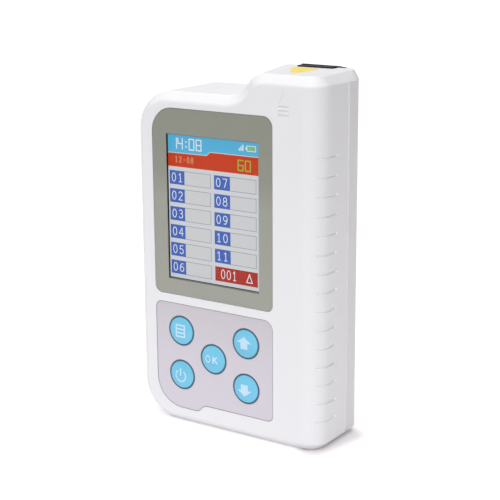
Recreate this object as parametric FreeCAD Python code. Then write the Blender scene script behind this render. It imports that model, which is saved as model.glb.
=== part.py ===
import FreeCAD, Part
import math
import os

V = FreeCAD.Vector

# Handheld urine strip analyzer, standing on its base. Millimetres.
# +Z up, +X to the right seen from the front, the front face looks along -Y.
# Origin: on the surface the base stands on, midway across the case, 15 mm behind the front face.

# ---------------------------------------------------------------- driving dimensions
X_SIDE = 37.1            # half width of the case
Y_FACE = -15.0           # plane of the front face
Y_BACK = 17.0            # plane of the back
Y_SEAM = 3.1             # where front and rear shells meet
Z_CUT = -0.6             # profile bottom before the base plane trims it to Z = 0
Z_SHOULDER = 117.6       # top of the lower left shoulder
Z_TOP = 125.6            # top of the tray column
R_CORNER = 14.0          # left corners of the outline
S_START = 0.70           # where the shoulder starts to rise, at the front face
S_LOW_R = 10.06          # concave arc of the rise
S_HIGH_R = 7.29          # convex arc of the rise
S_SKEW = 0.275           # how far the rise moves left per millimetre of depth
R_EDGE = 7.0             # front upright edge of the tray column
R_REAR = 9.9             # rear upright edge behind it
BEVEL = 3.0              # bevel round the front outline
BACK_BEVEL = 0.7
SOFT = 1.2               # rounding of the front bevel's edges
WALL = 2.0

WINDOW = (-29.57, 46.95, 19.34, 112.24)      # display window outline X0 Z0 X1 Z1
WINDOW_R = (2.6, 2.3, 3.5, 8.5)              # its corners: BL BR TR TL
APERTURE = (-24.4, 52.6, 13.4, 103.1)       # clear picture area
PAD = (-29.59, 7.9, 19.38, 43.75)            # keypad overlay outline
PAD_LOW = 5.33                               # lower edge of the overlay's left part
KEYS = {"menu_key": (-18.72, 34.01), "power_key": (-18.72, 17.79),
        "ok_key": (-5.10, 25.94), "up_key": (8.46, 34.01), "down_key": (8.46, 17.79)}
KEY_R, KEY_SKIRT_R, KEY_FLANGE_R = 4.92, 5.42, 6.3
KEY_TRAVEL = 0.5

TRAY_X = (12.85, 26.5)                       # strip tray
TRAY_Y = (13.2, 15.4)
TRAY_Z = (15.8, 126.2)
TRAY_TRAVEL = 50.0
SLOT_GAP = 0.15

PINION_M, PINION_T = 0.5, 16
WHEEL_M, WHEEL_T = 0.4, 40
MOTOR_T = 12
GEAR_X, GEAR_Z = 7.75, 68.0
MOTOR_X = GEAR_X - (WHEEL_M * (WHEEL_T + MOTOR_T) / 2 + 0.05)
RACK_PITCH_X = GEAR_X + PINION_M * PINION_T / 2 + 0.05

CASE_SCREWS = [(-30.0, 109.2), (31.6, 118.6), (31.6, 7.6), (-29.5, 8.8)]
BOARD_SCREWS = [(-31.3, 95.0), (27.0, 88.0), (-31.3, 50.0), (27.0, 30.0)]
CHASSIS_SCREWS = [(31.8, 96.0), (31.8, 42.0), (3.6, 85.0)]
BOARD_Y = (-8.6, -7.0)
OPTICS_SCREWS = [(16.4, 107.2), (24.0, 99.4)]
PLATE_Y = (9.5, 10.3)

GROOVES = 15
GROOVE_TOP, GROOVE_PITCH = 99.75, 6.39
NUB_Y = -3.8             # right end of the grooves
LIP = 0.42               # how far the rear shell stands out beside the seam
CAP_FRONT = 10.75        # front of the tray cap in the top slot

NODES = {}


# ---------------------------------------------------------------- helpers
def box(x0, y0, z0, x1, y1, z1):
    return Part.makeBox(x1 - x0, y1 - y0, z1 - z0, V(x0, y0, z0))


def cyl_y(x, z, r, y0, y1):
    return Part.makeCylinder(r, y1 - y0, V(x, y0, z), V(0, 1, 0))


def cone_y(x, z, r0, r1, y0, y1):
    return Part.makeCone(r0, r1, y1 - y0, V(x, y0, z), V(0, 1, 0))


def wire_xz(points, y=0.0):
    """Closed outline in XZ. Each item is (x, z) for a corner or
    ('arc', (mx, mz), (x, z)) for an arc through m that ends at (x, z)."""
    edges = []
    first = points[0]
    last = first
    for item in points[1:] + [first]:
        a = V(last[0], y, last[1])
        if item[0] == "arc":
            m, e = item[1], item[2]
            edges.append(Part.Arc(a, V(m[0], y, m[1]), V(e[0], y, e[1])).toShape())
            last = e
        else:
            b = V(item[0], y, item[1])
            if a.distanceToPoint(b) > 1e-6:
                edges.append(Part.LineSegment(a, b).toShape())
            last = item
    return Part.Wire(edges)


def prism(points, y0, y1):
    return Part.Face(wire_xz(points, y0)).extrude(V(0, y1 - y0, 0))


def rrect(x0, z0, x1, z1, r):
    """Rounded rectangle; r is one radius or four: BL, BR, TR, TL."""
    bl, br, tr, tl = r if isinstance(r, tuple) else (r, r, r, r)
    k = 1 - math.sqrt(0.5)
    return [(x0 + bl, z0), (x1 - br, z0), ("arc", (x1 - br * k, z0 + br * k), (x1, z0 + br)),
            (x1, z1 - tr), ("arc", (x1 - tr * k, z1 - tr * k), (x1 - tr, z1)),
            (x0 + tl, z1), ("arc", (x0 + tl * k, z1 - tl * k), (x0, z1 - tl)),
            (x0, z0 + bl), ("arc", (x0 + bl * k, z0 + bl * k), (x0 + bl, z0))]


def case_outline(t=0.0, y=Y_FACE):
    """Outline of the case at depth y, moved inwards by t. Only the rise moves with depth."""
    s_start = S_START - S_SKEW * (y - Y_FACE)
    xl, xr = -X_SIDE + t, X_SIDE - t
    r = R_CORNER - t
    cx = -X_SIDE + R_CORNER
    q = math.sqrt(0.5)
    th = math.acos(1 - (Z_TOP - Z_SHOULDER) / (S_LOW_R + S_HIGH_R))
    c1 = (s_start, Z_SHOULDER + S_LOW_R)
    x_end = s_start + (S_LOW_R + S_HIGH_R) * math.sin(th)
    c2 = (x_end, Z_TOP - S_HIGH_R)
    r1, r2 = S_LOW_R + t, S_HIGH_R - t
    zb, zs = Z_CUT + t, Z_SHOULDER
    return [
        (cx, zb), (xr, zb), (xr, Z_TOP - t), (x_end, Z_TOP - t),
        ("arc", (c2[0] - r2 * math.sin(th / 2), c2[1] + r2 * math.cos(th / 2)),
         (c2[0] - r2 * math.sin(th), c2[1] + r2 * math.cos(th))),
        ("arc", (c1[0] + r1 * math.sin(th / 2), c1[1] - r1 * math.cos(th / 2)), (c1[0], zs - t)),
        (cx, zs - t),
        ("arc", (cx - r * q, zs - R_CORNER + r * q), (xl, zs - R_CORNER)),
        (xl, Z_CUT + R_CORNER),
        ("arc", (cx - r * q, Z_CUT + R_CORNER - r * q), (cx, zb)),
    ]


def half_case(t, y_face, y_seam, r, bevel):
    """One half of the case as a solid block: the outline run from the seam to a face,
    its right upright edge rounded, and the whole edge of the face bevelled."""
    y0, y1 = min(y_face, y_seam), max(y_face, y_seam)
    s = Part.makeLoft([wire_xz(case_outline(t, y0), y0), wire_xz(case_outline(t, y1), y1)], True, True)
    x = X_SIDE - t
    upright = [e for e in s.Edges if len(e.Vertexes) == 2
               and all(abs(v.X - x) < 1e-4 and abs(v.Y - y_face) < 1e-4 for v in e.Vertexes)]
    s = s.makeFillet(r, upright)
    sharp = [e for e in s.Edges if on_face_loop(e, y_face, t, r)]
    return s.makeChamfer(bevel, sharp)


def on_face_loop(e, y_face, t, r):
    """Edges of the bevelled chain: the face outline, and the top and bottom edges of
    the rounded upright corner and of the side behind it."""
    pts = [e.valueAt(e.FirstParameter + (e.LastParameter - e.FirstParameter) * k) for k in (0.1, 0.5, 0.9)]
    x, zt, zb = X_SIDE - t, Z_TOP - t, Z_CUT + t
    flat = all(abs(p.y - y_face) < 1e-4 for p in pts)
    if flat:
        upright = all(abs(p.x - (x - r)) < 1e-3 for p in pts) and abs(pts[0].z - pts[2].z) > 1
        return not upright
    level = all(abs(p.z - zt) < 1e-4 for p in pts) or all(abs(p.z - zb) < 1e-4 for p in pts)
    side = all(p.x > x - r - 1e-4 for p in pts)
    moves_y = abs(pts[0].y - pts[2].y) > 1e-3
    return level and side and moves_y


def plan_wire(z, x_right, y_rear, r, x_left=-60.0, y_front=-30.0):
    """Plan outline with one rounded rear right corner."""
    k = 1 - math.sqrt(0.5)
    p = [V(x_left, y_front, z), V(x_right, y_front, z), V(x_right, y_rear - r, z)]
    m = V(x_right - r * k, y_rear - r * k, z)
    q = V(x_right - r, y_rear, z)
    s = V(x_left, y_rear, z)
    return Part.Wire([Part.LineSegment(p[0], p[1]).toShape(), Part.LineSegment(p[1], p[2]).toShape(),
                      Part.Arc(p[2], m, q).toShape(), Part.LineSegment(q, s).toShape(),
                      Part.LineSegment(s, p[0]).toShape()])


def gear(m, n, x, z, y0, y1, tooth_at, slack, bore, add=1.0, ded=1.25, steps=4):
    """Involute spur gear about an axis along Y. tooth_at is the angle in XZ, from +X
    towards +Z, of one tooth's middle. slack is taken off the tooth thickness."""
    rp = m * n / 2
    ra, rf = rp + add * m, rp - ded * m
    pa = math.radians(20)
    rb = rp * math.cos(pa)
    inv = math.tan(pa) - pa
    half = math.pi / (2 * n) - slack / (2 * rp)
    lo = max(rb, rf)
    pts = []
    for i in range(n):
        c = tooth_at + 2 * math.pi * i / n
        side = []
        for k in range(steps):
            r = lo + (ra - lo) * k / (steps - 1)
            a = math.acos(min(1.0, rb / r))
            side.append((r, half + inv - (math.tan(a) - a)))
        left = [(rf, side[0][1] * 1.02)] + side if rf < lo - 1e-6 else side
        for r, a in left:
            pts.append((r, c - a))
        for r, a in reversed(left):
            pts.append((r, c + a))
    poly = [V(x + r * math.cos(a), y0, z + r * math.sin(a)) for r, a in pts]
    face = Part.Face(Part.makePolygon(poly + [poly[0]]))
    s = face.extrude(V(0, y1 - y0, 0))
    if bore:
        s = s.cut(cyl_y(x, z, bore, y0 - 1, y1 + 1))
    return s


def keep(name, shape):
    """Every piece is kept under its node name, as one solid or a group of solids."""
    shape = shape.removeSplitter() if len(shape.Solids) == 1 else shape
    solids = shape.Solids
    assert solids, name
    NODES[name] = solids[0] if len(solids) == 1 else Part.makeCompound(solids)
    return NODES[name]


def fuse(a, *more):
    for b in more:
        a = a.fuse(b)
    return a


def cross_screw(x, z, head_r, head_y0, head_h, shank_r, tip_y):
    """Pan head screw driven along -Y, with a cross recess in its head."""
    s = fuse(cyl_y(x, z, head_r, head_y0, head_y0 + head_h), cyl_y(x, z, shank_r, tip_y, head_y0))
    w, l, d = head_r * 0.2, head_r * 0.62, head_h * 0.55
    top = head_y0 + head_h
    s = s.cut(box(x - w, top - d, z - l, x + w, top + 1, z + l))
    return s.cut(box(x - l, top - d, z - w, x + l, top + 1, z + w))


# ---------------------------------------------------------------- shells
def soften(s, r):
    """Round every edge where a bevel meets its neighbour, which turns by about 45 degrees."""
    s = s.Solids[0]
    bevelled = []
    for e in s.Edges:
        faces = s.ancestorsOfType(e, Part.Face)
        if len(faces) != 2:
            continue
        m = e.valueAt((e.FirstParameter + e.LastParameter) / 2)
        n = [f.normalAt(*f.Surface.parameter(m)) for f in faces]
        if 25 < math.degrees(n[0].getAngle(n[1])) < 70:
            bevelled.append(e)
    return s.makeFillet(r, bevelled)


front_out = soften(half_case(0.0, Y_FACE, Y_SEAM, R_EDGE, BEVEL), SOFT)
base_cut = box(-60, -40, 0.0, 60, 40, 200)
front_out = front_out.common(base_cut)
rear_out = half_case(0.0, Y_BACK, Y_SEAM, R_REAR, BACK_BEVEL)
# The bevel of the column's top and of the base goes on round the rear upright edge.
cap = Part.makeLoft([plan_wire(Z_TOP - BEVEL, X_SIDE, Y_BACK + 0.2, R_REAR),
                     plan_wire(Z_TOP + 0.5, X_SIDE - BEVEL - 0.5, Y_BACK + 0.2, R_REAR - BEVEL)], True, True)
mid = Part.Face(plan_wire(Z_CUT + BEVEL, X_SIDE, Y_BACK + 0.2, R_REAR)).extrude(
    V(0, 0, Z_TOP - BEVEL - (Z_CUT + BEVEL)))
foot = Part.makeLoft([plan_wire(Z_CUT - 0.5, X_SIDE - BEVEL - 0.5, Y_BACK + 0.2, R_REAR - BEVEL),
                      plan_wire(Z_CUT + BEVEL, X_SIDE, Y_BACK + 0.2, R_REAR)], True, True)
rear_out = rear_out.common(fuse(cap, mid, foot)).common(base_cut)

front_in = half_case(WALL, Y_FACE + WALL, Y_SEAM, R_EDGE - WALL, BEVEL - 1.0)
rear_in = half_case(WALL, Y_BACK - WALL, Y_SEAM, R_REAR - WALL, 0.8)

front = front_out.cut(front_in)
rear = rear_out.cut(rear_in)

# Screw columns: blind pilots in the front shell, stepped holes in the rear shell.
for x, z in CASE_SCREWS:
    front = front.fuse(cyl_y(x, z, 3.2, -12.5, Y_SEAM).common(front_out))
    rear = rear.fuse(cyl_y(x, z, 3.6, Y_SEAM, Y_BACK).common(rear_out))
# Posts that carry the main board.
for x, z in BOARD_SCREWS:
    front = front.fuse(cyl_y(x, z, 2.2, -13.2, BOARD_Y[0]).common(front_out))
# Frame that clamps the key mat.
rib = prism(rrect(-28.3, 8.7, 18.3, 43.4, 5.0), -13.2, -10.3).cut(prism(rrect(-27.1, 9.9, 17.1, 42.3, 4.0), -14, -10))
front = front.fuse(rib)
for x, z in CASE_SCREWS:
    front = front.cut(cyl_y(x, z, 0.95, -7.9, Y_SEAM + 1))
    rear = rear.cut(cyl_y(x, z, 1.25, Y_SEAM - 1, 11)).cut(cyl_y(x, z, 2.5, 9.1, Y_BACK + 1))
for x, z in BOARD_SCREWS:
    front = front.cut(cyl_y(x, z, 0.8, -12.2, BOARD_Y[0] + 1))

# Display window seat and opening.
wx0, wz0, wx1, wz1 = WINDOW
front = front.cut(prism(rrect(wx0 - 0.1, wz0 - 0.1, wx1 + 0.1, wz1 + 0.1, tuple(r + 0.1 for r in WINDOW_R)), -16, -13.7))
front = front.cut(prism(rrect(wx0 + 1.8, wz0 + 1.8, wx1 - 1.8, wz1 - 1.8, (1.2, 1.2, 2.2, 6.7)), -14, -12.5))

# Keypad overlay seat with its stepped lower edge, and the key holes.
def pad_outline(g=0.0):
    x0, z0, x1, z1 = PAD[0] - g, PAD[1] - g, PAD[2] + g, PAD[3] + g
    zl = PAD_LOW - g
    bl, br, tr, tl = 10.5 + g, 2.2 + g, 3.6 + g, 2.6 + g
    k = 1 - math.sqrt(0.5)
    rise = z0 - zl
    ra, rb = 2.8, 3.4
    th = math.acos(1 - rise / (ra + rb))
    xa = -12.9 + g * 0.3
    xb = xa + (ra + rb) * math.sin(th)
    c1 = (xa, zl + ra)
    c2 = (xb, z0 - rb)
    return [
        (x0 + bl, zl), (xa, zl),
        ("arc", (c1[0] + ra * math.sin(th / 2), c1[1] - ra * math.cos(th / 2)),
         (c1[0] + ra * math.sin(th), c1[1] - ra * math.cos(th))),
        ("arc", (c2[0] - rb * math.sin(th / 2), c2[1] + rb * math.cos(th / 2)), (xb, z0)),
        (x1 - br, z0), ("arc", (x1 - br * k, z0 + br * k), (x1, z0 + br)),
        (x1, z1 - tr), ("arc", (x1 - tr * k, z1 - tr * k), (x1 - tr, z1)),
        (x0 + tl, z1), ("arc", (x0 + tl * k, z1 - tl * k), (x0, z1 - tl)),
        (x0, zl + bl), ("arc", (x0 + bl * k, zl + bl * k), (x0 + bl, zl)),
    ]


front = front.cut(prism(pad_outline(0.08), -16, -14.4))
for x, z in KEYS.values():
    front = front.cut(cyl_y(x, z, 5.6, -16, -12.5))

# Direction mark sunk in the column's front: a triangle over three bars.
front = front.cut(prism([(22.0, 116.9), (25.3, 116.9), (23.65, 120.5)], -16, Y_FACE + 0.12))
for z in (115.55, 114.17, 112.79):
    ramp = Part.Face(Part.makePolygon([V(21.75, Y_FACE - 0.5, z + 0.5), V(21.75, Y_FACE + 0.3, z + 0.5),
                                       V(21.75, Y_FACE, z - 0.62), V(21.75, Y_FACE - 0.5, z - 0.62),
                                       V(21.75, Y_FACE - 0.5, z + 0.5)]))
    front = front.cut(ramp.extrude(V(3.8, 0, 0)))

# Finger grooves that wrap the right front edge. Each starts in a small dimple, deepens
# towards the side, and ends at a small nub.
groove_cut, nubs = [], []
ex, ey = X_SIDE - R_EDGE, Y_FACE + R_EDGE
ay = ey - 0.26
for i in range(GROOVES):
    z = GROOVE_TOP - i * GROOVE_PITCH
    tri = Part.Face(Part.makePolygon([V(ex + R_EDGE + 0.3, ay, z + 0.84), V(ex + R_EDGE - 0.32, ay, z + 0.06),
                                      V(ex + R_EDGE - 0.32, ay, z - 0.06), V(ex + R_EDGE + 0.3, ay, z - 0.84),
                                      V(ex + R_EDGE + 0.3, ay, z + 0.84)]))
    groove_cut.append(tri.revolve(V(ex, ay, z), V(0, 0, 1), -45))
    groove_cut.append(tri.extrude(V(0, NUB_Y - ay, 0)))
    a = math.radians(46.5)
    d = R_EDGE + 0.4
    groove_cut.append(Part.makeSphere(0.66, V(ex + d * math.sin(a), ey - d * math.cos(a), z + 0.05)))
    nubs.append(Part.makeSphere(0.56, V(X_SIDE - 0.1, NUB_Y, z)))
grooves = groove_cut[0].multiFuse(groove_cut[1:])
front = front.cut(grooves).multiFuse(nubs)

# USB opening through the base.
USB_X = (-8.8, -1.2)
front = front.cut(box(USB_X[0] - 0.15, -7.15, -1, USB_X[1] + 0.15, -4.25, 3))

# Rear shell: tray pocket, top slot, chassis bosses, sound slots, label recess.
rear = rear.cut(box(TRAY_X[0] - 0.2, 14.5, 13.0, TRAY_X[1] + 1.8, 15.6, Z_TOP - WALL - 0.01))
rear = rear.cut(box(TRAY_X[0] - SLOT_GAP, CAP_FRONT - SLOT_GAP, Z_TOP - 4, TRAY_X[1] + SLOT_GAP, 15.6, Z_TOP + 1))
# The slot runs on to the right as a thin gap that vents the tray's path.
rear = rear.cut(box(TRAY_X[1], 14.7, Z_TOP - 4, 30.0, 15.6, Z_TOP + 1))
for x, z in CHASSIS_SCREWS:
    rear = rear.fuse(cyl_y(x, z, 2.6, PLATE_Y[1], 16.0).common(rear_out))
    rear = rear.cut(cyl_y(x, z, 0.8, PLATE_Y[1] - 1, 14.2))
for k in (-1, 0, 1):
    rear = rear.cut(prism(rrect(-4.0, 99.5 + 2.2 * k, 4.0, 100.5 + 2.2 * k, 0.49), 14, 18))
LABEL = (-22.0, 28.0, 22.0, 58.0)
rear = rear.cut(prism(rrect(LABEL[0] - 0.1, LABEL[1] - 0.1, LABEL[2] + 0.1, LABEL[3] + 0.1, 2.1), 16.75, 18))
seam = [e for e in rear.Edges if all(abs(v.Y - Y_SEAM) < 1e-4 for v in e.Vertexes)]


def outer_seam(e):
    p = e.valueAt((e.FirstParameter + e.LastParameter) / 2)
    return abs(p.y - Y_SEAM) < 1e-4 and rear_in.distToShape(Part.Vertex(p))[0] > WALL - 0.6 \
        and all(math.hypot(p.x - x, p.z - z) > 3.8 for x, z in CASE_SCREWS)


rear = rear.makeChamfer(0.5, [e for e in seam if outer_seam(e)])

# Beside the seam the rear shell stands out from the front shell on both sides.
for sx, z0, z1 in ((1, 3.4, 122.2), (-1, 14.5, 102.5)):
    x = X_SIDE - 0.6
    low = [V(sx * x, Y_SEAM, z0), V(sx * (X_SIDE + LIP), Y_SEAM, z0 + 0.6), V(sx * (X_SIDE + LIP), Y_SEAM + 0.25, z0 + 0.6),
           V(sx * X_SIDE, 7.0, z0), V(sx * x, 7.0, z0)]
    foot_ = Part.Wire(Part.makePolygon([V(p.x, p.y, z0) for p in low] + [V(low[0].x, low[0].y, z0)]).Edges)
    lip = Part.Face(foot_).extrude(V(0, 0, z1 - z0))
    # Both ends of the lip run out at a slant.
    for zz, d in ((z0, 1), (z1, -1)):
        lip = lip.cut(Part.Face(Part.makePolygon([
            V(sx * (X_SIDE - 0.01), 0, zz - d * 0.01), V(sx * (X_SIDE + 1), 0, zz - d * 0.01),
            V(sx * (X_SIDE + 1), 0, zz + d * 1.4), V(sx * (X_SIDE - 0.01), 0, zz - d * 0.01)])).extrude(V(0, 10, 0)))
    rear = rear.fuse(lip)

keep("front_shell", front)
keep("rear_shell", rear)

# ---------------------------------------------------------------- display
keep("display_window", prism(rrect(*WINDOW, WINDOW_R), -14.88, -13.7))
LCD = (-26.8, 47.5, 14.8, 106.0)
keep("window_gasket", prism(rrect(-26.9, 49.0, 16.2, 107.2, 1.0), -13.7, -12.7).cut(
    prism(rrect(APERTURE[0] - 1.0, APERTURE[1] - 1.0, APERTURE[2] + 1.0, APERTURE[3] + 1.0, 0.5), -14, -12)))
keep("display_panel", prism(rrect(*LCD, 0.4), -12.7, -10.4))
frame = prism(rrect(LCD[0] - 1.1, LCD[1] - 1.1, LCD[2] + 1.1, LCD[3] + 1.1, 1.0), -12.6, -9.4)
frame = frame.cut(box(LCD[0] - 0.1, -13, LCD[1] - 0.1, LCD[2] + 0.1, -10.4, LCD[3] + 0.1))
frame = frame.cut(box(-15, -13, 46, 7, -10.4, 47.6))
for x, z in ((-24, 50), (13.5, 50), (-24, 104.5), (13.5, 104.5)):
    frame = frame.fuse(cyl_y(x, z, 1.5, -9.6, BOARD_Y[0]))
keep("display_frame", frame)
flex = box(-14, -11.0, 44.85, 6, -10.85, 47.5).fuse(box(-14, -11.0, 44.85, 6, -9.6, 45.0))
keep("display_flex", flex)
keep("display_connector", box(-14.5, -9.6, 44.1, 6.5, BOARD_Y[0], 45.9))

# ---------------------------------------------------------------- keypad
overlay = prism(pad_outline(), -14.86, -14.4)
for x, z in KEYS.values():
    overlay = overlay.cut(cyl_y(x, z, 5.52, -16, -14))
keep("keypad_overlay", overlay)
for name, (x, z) in KEYS.items():
    crown = Part.makeSphere(26.0, V(x, -15.42 + 26.0, z))
    cap_ = cyl_y(x, z, KEY_R, -15.6, -14.6).common(crown)
    rim = [e for e in cap_.Edges if e.Curve.TypeId == "Part::GeomCircle" and abs(e.Curve.Radius - KEY_R) < 0.05
           and e.BoundBox.YMax < -14.9]
    cap_ = cap_.makeFillet(0.28, rim)
    keep(name, fuse(cap_, cyl_y(x, z, KEY_SKIRT_R, -14.75, -12.9), cyl_y(x, z, KEY_FLANGE_R, -12.97, -12.3)))
mat = prism(rrect(-27.9, 9.1, 17.9, 43.0, 4.6), -10.3, -9.5)
for x, z in KEYS.values():
    mat = mat.fuse(cone_y(x, z, 2.6, 4.2, -11.7, -10.3))
keep("key_mat", mat)
keep("key_switches", Part.makeCompound([cyl_y(x, z, 2.4, -9.5, BOARD_Y[0]) for x, z in KEYS.values()]))

# ---------------------------------------------------------------- main board
board = prism([(-24.0, 3.6), (-9.6, 3.6), (-9.6, 3.6), (33.0, 3.6), (33.0, 118.6), (20.0, 118.6), (16.5, 114.2),
               (-24.0, 114.2), (-33.8, 103.0), (-33.8, 15.0)], *BOARD_Y)
for x, z in CASE_SCREWS:
    board = board.cut(cyl_y(x, z, 3.5, -10, -5))
board = board.cut(box(27.5, -10, 114.6, 34, -5, 119)).cut(box(27.5, -10, 3, 34, -5, 11.6))
for x, z in BOARD_SCREWS:
    board = board.cut(cyl_y(x, z, 1.0, -10, -5))
keep("main_board", board)
keep("processor_chip", box(-9, BOARD_Y[1], 80, 1, -5.8, 90))
keep("wireless_module", box(-25, BOARD_Y[1], 92, -12, -4.8, 109))
keep("buzzer", cyl_y(0.0, 100.0, 4.5, BOARD_Y[1], -3.4).cut(cyl_y(0.0, 100.0, 0.8, -4.4, -3)))
keep("battery_socket", box(-21, BOARD_Y[1], 64, -15, -3.0, 69))
usb = box(USB_X[0], BOARD_Y[1], 0.5, USB_X[1], -4.4, 6.6)
usb = usb.cut(box(USB_X[0] + 0.5, BOARD_Y[1] + 0.5, 0, USB_X[1] - 0.5, -4.9, 5.4))
usb = usb.fuse(box(-7.6, -6.0, 1.2, -2.4, -5.4, 5.6))
keep("usb_socket", usb)
keep("board_screws", Part.makeCompound(
    [cross_screw(x, z, 1.7, BOARD_Y[1], 1.2, 0.78, -11.6) for x, z in BOARD_SCREWS]))

# ---------------------------------------------------------------- battery
bat = prism(rrect(-31.0, 13.0, 3.0, 59.0, 1.5), 6.5, 14.5)
keep("battery_pack", bat)
keep("battery_pad", prism(rrect(-28.0, 18.0, 0.0, 56.0, 1.0), 14.5, 15.0))
keep("battery_plug", box(-20.5, -3.0, 64.4, -15.5, -0.6, 68.6))


def lead(x, r):
    """One insulated wire: up from the cell, round one bend, forward to the plug."""
    a, b, c = V(x, 10.5, 59.0), V(x, 10.5, 66.5), V(x, -0.6, 66.5)
    rad = 0.45 * 6.5
    p0, p1 = V(x, 10.5, 66.5 - rad), V(x, 10.5 - rad, 66.5)
    q = math.sqrt(0.5)
    m = V(x, 10.5 - rad + rad * q, 66.5 - rad + rad * q)
    path = Part.Wire([Part.LineSegment(a, p0).toShape(), Part.Arc(p0, m, p1).toShape(),
                      Part.LineSegment(p1, c).toShape()])
    prof = Part.Wire([Part.makeCircle(r, a, V(0, 0, 1))])
    return path.makePipeShell([prof], True, False)


keep("battery_lead", Part.makeCompound([lead(-19.2, 0.65), lead(-16.8, 0.65)]))

# ---------------------------------------------------------------- tray chassis
gap0, gap1 = GEAR_Z - 9.5, GEAR_Z + 9.5
plate = fuse(box(9.0, PLATE_Y[0], 14.0, 28.3, PLATE_Y[1], 121.0),
             box(-11.5, PLATE_Y[0], 59.6, 12.0, PLATE_Y[1], 89.0))
for x, z in CHASSIS_SCREWS[:2]:
    plate = plate.fuse(box(28.0, PLATE_Y[0], z - 3.2, 34.0, PLATE_Y[1], z + 3.2))
# Rails beside the tray and ribs in front of it. The left ones stop where the gears reach in.
rails = [box(26.65, 10.0, 14.0, 28.1, 15.45, 121.0),
         box(9.4, 10.0, 14.0, 11.1, 14.9, gap0), box(9.4, 10.0, gap1, 11.1, 14.9, 121.0),
         box(24.9, 10.0, 14.0, 26.1, 13.05, 121.0),
         box(13.6, 10.0, 14.0, 14.8, 13.05, gap0), box(13.6, 10.0, gap1, 14.8, 13.05, 121.0),
         box(9.4, 10.0, 13.4, 28.1, 14.9, 15.2)]
plate = fuse(plate, *rails).cut(cyl_y(CASE_SCREWS[1][0], CASE_SCREWS[1][1], 3.9, 3, 15))
plate = plate.cut(box(8.0, 9.0, 117.8, 12.0, 16.0, 122.0))
plate = plate.cut(cyl_y(20.2, 103.0, 3.2, 9, 11)).cut(box(17.2, 9, 26.0, 19.2, 11, 28.4))
plate = plate.cut(cyl_y(GEAR_X, GEAR_Z, 1.0, 9, 11)).cut(cyl_y(MOTOR_X, GEAR_Z, 2.0, 9, 11))
for x, z in CHASSIS_SCREWS:
    plate = plate.cut(cyl_y(x, z, 1.0, 9, 11))
for x, z in OPTICS_SCREWS:
    plate = plate.cut(cyl_y(x, z, 0.55, 9, 11))
keep("tray_chassis", plate)
keep("chassis_screws", Part.makeCompound([
    fuse(cyl_y(x, z, 1.8, PLATE_Y[0] - 1.2, PLATE_Y[0]), cyl_y(x, z, 0.78, PLATE_Y[0], 13.8)).cut(
        box(x - 0.3, PLATE_Y[0] - 2, z - 1.1, x + 0.3, PLATE_Y[0] - 0.6, z + 1.1)).cut(
        box(x - 1.1, PLATE_Y[0] - 2, z - 0.3, x + 1.1, PLATE_Y[0] - 0.6, z + 0.3)) for x, z in CHASSIS_SCREWS]))
keep("gear_axle", cyl_y(GEAR_X, GEAR_Z, 1.0, PLATE_Y[0], 14.95))

# ---------------------------------------------------------------- drive
motor = fuse(cyl_y(MOTOR_X, GEAR_Z, 7.4, -0.5, PLATE_Y[0]), cyl_y(MOTOR_X, GEAR_Z, 1.9, PLATE_Y[0], 10.2))
motor = motor.cut(cyl_y(MOTOR_X, GEAR_Z, 0.75, 7, 11))
keep("drive_motor", motor)
keep("motor_lead", Part.makeCompound([cyl_y(MOTOR_X + d, GEAR_Z - 5.0, 0.5, BOARD_Y[1], -0.5) for d in (-1.6, 0, 1.6)]))
shaft = cyl_y(MOTOR_X, GEAR_Z, 0.70, 7.2, 12.6)
keep("motor_gear", fuse(gear(WHEEL_M, MOTOR_T, MOTOR_X, GEAR_Z, 10.7, 12.0, math.pi / MOTOR_T, 0.06, 0), shaft))
wheel = gear(WHEEL_M, WHEEL_T, GEAR_X, GEAR_Z, 10.7, 11.9, 0.0, 0.06, 0)
pinion = gear(PINION_M, PINION_T, GEAR_X, GEAR_Z, 11.8, 14.8, math.pi / PINION_T, 0.08, 0)
hub = cyl_y(GEAR_X, GEAR_Z, 3.0, 10.45, 12.2)
keep("reduction_gear", fuse(wheel, pinion, hub).cut(cyl_y(GEAR_X, GEAR_Z, 1.05, 10, 16)))

# ---------------------------------------------------------------- strip tray
tx0, tx1 = TRAY_X
ty0, ty1 = TRAY_Y
tray = box(tx0, ty0, TRAY_Z[0], tx1, ty1, 119.0)
tray = tray.fuse(box(tx0 + 1.2, ty0 + 0.7, 118.9, tx1 - 1.2, ty1 - 0.7, 122.6))
tray = tray.cut(prism(rrect(17.4, 24.0, 23.0, 118.0, 0.6), ty0 - 1, ty0 + 1.2))
tray = tray.cut(box(15.4, ty0 - 1, 60.0, 25.0, ty0 + 0.8, 66.0)).cut(box(15.4, ty0 - 1, 96.0, 25.0, ty0 + 0.8, 102.0))
pitch = math.pi * PINION_M
z_a, z_b = GEAR_Z - TRAY_TRAVEL - 2.0, GEAR_Z + 2.2
pts = [(tx0 + 0.2, z_a), (tx0 + 0.2, z_b)]
root_x, tip_x = RACK_PITCH_X + 1.2 * PINION_M, RACK_PITCH_X - 0.95 * PINION_M
t20 = math.tan(math.radians(20))
half_p = pitch / 4 - 0.04
n_up, n_dn = int((z_b - GEAR_Z - 0.6) / pitch), int((GEAR_Z - z_a - 0.6) / pitch)
pts.append((root_x, z_b))
for i in range(n_up, -n_dn - 1, -1):
    c = GEAR_Z + i * pitch
    wr = half_p + (root_x - RACK_PITCH_X) * t20
    wt = half_p - (RACK_PITCH_X - tip_x) * t20
    pts += [(root_x, c + wr), (tip_x, c + wt), (tip_x, c - wt), (root_x, c - wr)]
pts.append((root_x, z_a))
rack = prism(pts, 13.3, 14.8)
keep("strip_tray", tray.fuse(rack))
keep("reference_pad", box(17.4, ty0 + 0.1, 112.0, 23.0, ty0 + 1.2, 118.0).common(
    prism(rrect(17.4, 100.0, 23.0, 118.0, 0.6), ty0 - 1, ty0 + 1.2)))
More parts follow.
